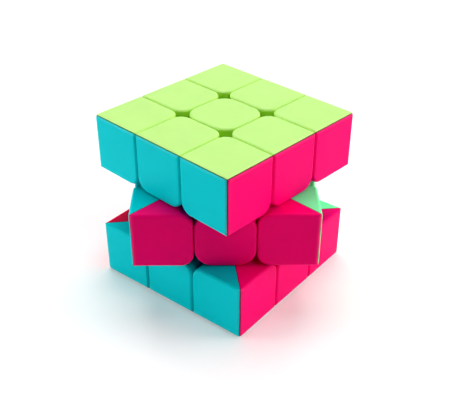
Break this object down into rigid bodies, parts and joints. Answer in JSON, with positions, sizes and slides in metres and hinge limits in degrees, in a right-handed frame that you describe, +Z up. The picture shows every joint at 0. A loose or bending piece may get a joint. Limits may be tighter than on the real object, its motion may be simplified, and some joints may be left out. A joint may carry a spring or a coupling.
{
  "type": "twisty puzzle cube",
  "caption": "Stickerless twisty puzzle cube with turning layers, hollow coloured shells on captive feet, clip-on centre caps and a sprung screw core.",
  "frame": {"origin": "middle of the bottom face, on the surface that the cube stands on", "axes": "+Z up, the axis that the top and bottom layers turn about; the middle layer is square to X and Y, with its pink side facing -Y and its mint side facing +X"},
  "size_m": [0.0782, 0.0782, 0.056],
  "materials": {
    "lime": "satin",
    "turquoise": "satin",
    "pink": "satin",
    "mint": "satin",
    "red": "satin",
    "white": "satin",
    "feet": "matt",
    "core": "matt",
    "steel": "plated",
    "spring_steel": "drawn wire"
  },
  "bodies": {
    "middle_layer": {"middle_mint_red_edge_shell_mint": "mint", "middle_mint_red_edge_shell_red": "red", "middle_red_turquoise_edge_shell_red": "red", "middle_red_turquoise_edge_shell_turquoise": "turquoise", "middle_turquoise_pink_edge_shell_turquoise": "turquoise", "middle_turquoise_pink_edge_shell_pink": "pink", "middle_pink_mint_edge_shell_pink": "pink", "middle_pink_mint_edge_shell_mint": "mint", "middle_edge_feet": "feet", "side_centre_bases": "feet", "core": "core", "tension_screws": "steel", "washers": "steel", "tension_springs": "spring_steel"},
    "top_layer": {"top_mint_red_corner_shell_mint": "mint", "top_mint_red_corner_shell_red": "red", "top_mint_red_corner_shell_lime": "lime", "top_red_turquoise_corner_shell_red": "red", "top_red_turquoise_corner_shell_turquoise": "turquoise", "top_red_turquoise_corner_shell_lime": "lime", "top_turquoise_pink_corner_shell_turquoise": "turquoise", "top_turquoise_pink_corner_shell_pink": "pink", "top_turquoise_pink_corner_shell_lime": "lime", "top_pink_mint_corner_shell_pink": "pink", "top_pink_mint_corner_shell_mint": "mint", "top_pink_mint_corner_shell_lime": "lime", "top_mint_edge_shell": "mint", "top_red_edge_shell": "red", "top_turquoise_edge_shell": "turquoise", "top_pink_edge_shell": "pink", "top_edge_shells_lime": "lime", "top_corner_feet": "feet", "top_edge_feet": "feet", "top_centre_base": "lime"},
    "bottom_layer": {"bottom_mint_red_corner_shell_mint": "mint", "bottom_mint_red_corner_shell_red": "red", "bottom_mint_red_corner_shell_white": "white", "bottom_red_turquoise_corner_shell_red": "red", "bottom_red_turquoise_corner_shell_turquoise": "turquoise", "bottom_red_turquoise_corner_shell_white": "white", "bottom_turquoise_pink_corner_shell_turquoise": "turquoise", "bottom_turquoise_pink_corner_shell_pink": "pink", "bottom_turquoise_pink_corner_shell_white": "white", "bottom_pink_mint_corner_shell_pink": "pink", "bottom_pink_mint_corner_shell_mint": "mint", "bottom_pink_mint_corner_shell_white": "white", "bottom_mint_edge_shell": "mint", "bottom_red_edge_shell": "red", "bottom_turquoise_edge_shell": "turquoise", "bottom_pink_edge_shell": "pink", "bottom_edge_shells_white": "white", "bottom_corner_feet": "feet", "bottom_edge_feet": "feet", "bottom_centre_base": "white"},
    "mint_cap": {"mint_centre_cap": "mint"},
    "red_cap": {"red_centre_cap": "red"},
    "turquoise_cap": {"turquoise_centre_cap": "turquoise"},
    "pink_cap": {"pink_centre_cap": "pink"},
    "lime_cap": {"lime_centre_cap": "lime"},
    "white_cap": {"white_centre_cap": "white"}
  },
  "joints": [
    {"name": "top_layer_turn", "type": "hinge", "parent": "middle_layer", "child": "top_layer", "pos_m": [0, 0, 0.028], "axis": [0, 0, 1], "continuous": true},
    {"name": "bottom_layer_turn", "type": "hinge", "parent": "middle_layer", "child": "bottom_layer", "pos_m": [0, 0, 0.028], "axis": [0, 0, 1], "continuous": true},
    {"name": "mint_cap_lift", "type": "slide", "parent": "middle_layer", "child": "mint_cap", "axis": [1, 0, 0], "range_m": [0, 0.008]},
    {"name": "red_cap_lift", "type": "slide", "parent": "middle_layer", "child": "red_cap", "axis": [0, 1, 0], "range_m": [0, 0.008]},
    {"name": "turquoise_cap_lift", "type": "slide", "parent": "middle_layer", "child": "turquoise_cap", "axis": [-1, 0, 0], "range_m": [0, 0.008]},
    {"name": "pink_cap_lift", "type": "slide", "parent": "middle_layer", "child": "pink_cap", "axis": [0, -1, 0], "range_m": [0, 0.008]},
    {"name": "lime_cap_lift", "type": "slide", "parent": "top_layer", "child": "lime_cap", "axis": [0, 0, 1], "range_m": [0, 0.008]},
    {"name": "white_cap_lift", "type": "slide", "parent": "bottom_layer", "child": "white_cap", "axis": [0, 0, -1], "range_m": [0, 0.008]}
  ]
}
